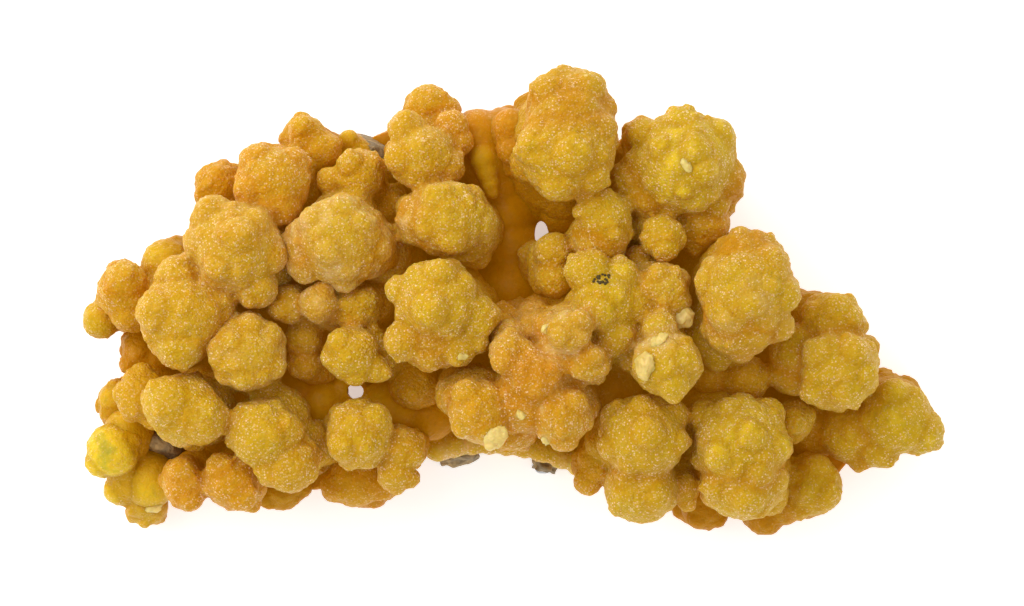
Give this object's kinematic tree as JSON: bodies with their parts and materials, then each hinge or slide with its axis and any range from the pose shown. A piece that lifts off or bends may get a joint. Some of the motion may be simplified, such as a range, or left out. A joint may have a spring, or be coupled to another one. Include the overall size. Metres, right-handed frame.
{
  "type": "mimetite specimen",
  "caption": "Hand-sized botryoidal mimetite crust, golden yellow globes on remnants of grey rock, lying on its flat back",
  "frame": {"origin": "on the plane of the flat back, under the middle of the whole", "axes": "+X along the long side, towards the narrow end; +Y towards the tall globes, the picture's up; +Z out of the display side"},
  "size_m": [0.0724, 0.0392, 0.0227],
  "materials": {
    "golden_mimetite": "waxy, translucent golden yellow with a fine sugary druse",
    "grey_rock": "rough grey-brown rock"
  },
  "bodies": {
    "root": {"mimetite": "golden_mimetite", "matrix_north": "grey_rock", "matrix_west": "grey_rock", "matrix_arch": "grey_rock", "matrix_foot": "grey_rock"}
  },
  "joints": []
}
